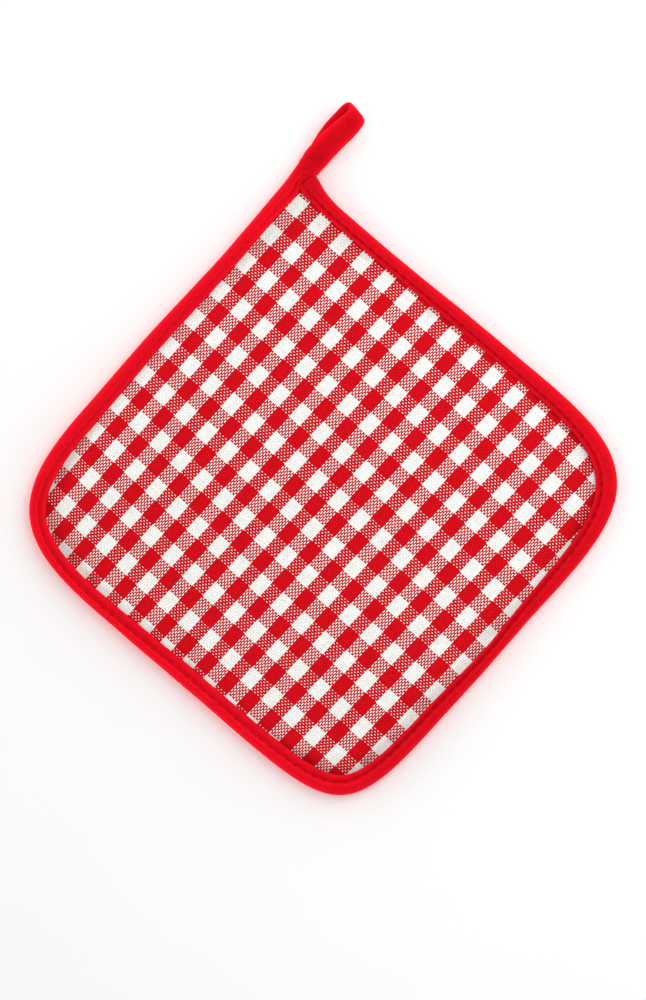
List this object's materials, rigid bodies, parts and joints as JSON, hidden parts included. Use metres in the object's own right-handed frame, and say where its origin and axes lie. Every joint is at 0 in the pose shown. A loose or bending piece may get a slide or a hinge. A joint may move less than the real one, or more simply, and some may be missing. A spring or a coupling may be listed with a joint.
{
  "type": "pot holder",
  "caption": "Square padded pot holder with rounded corners, a checked front, a plain back, a bound edge and a hanging loop at one corner.",
  "frame": {"origin": "the middle of the pad on the surface that it lies on, on the flat of its back", "axes": "+Z out of the checked front, +Y along the pad's side towards the corner with the hanging loop, +X to the right of it seen from the front"},
  "size_m": [0.2049, 0.2337, 0.0126],
  "materials": {
    "checked_cloth": "red and white plain weave gingham, matt",
    "back_cloth": "plain red weave, matt",
    "red_tape": "bright red bias tape, matt with a faint sheen"
  },
  "bodies": {
    "root": {"front_panel": "checked_cloth", "back_panel": "back_cloth", "binding": "red_tape", "hanging_loop": "red_tape"}
  },
  "joints": []
}
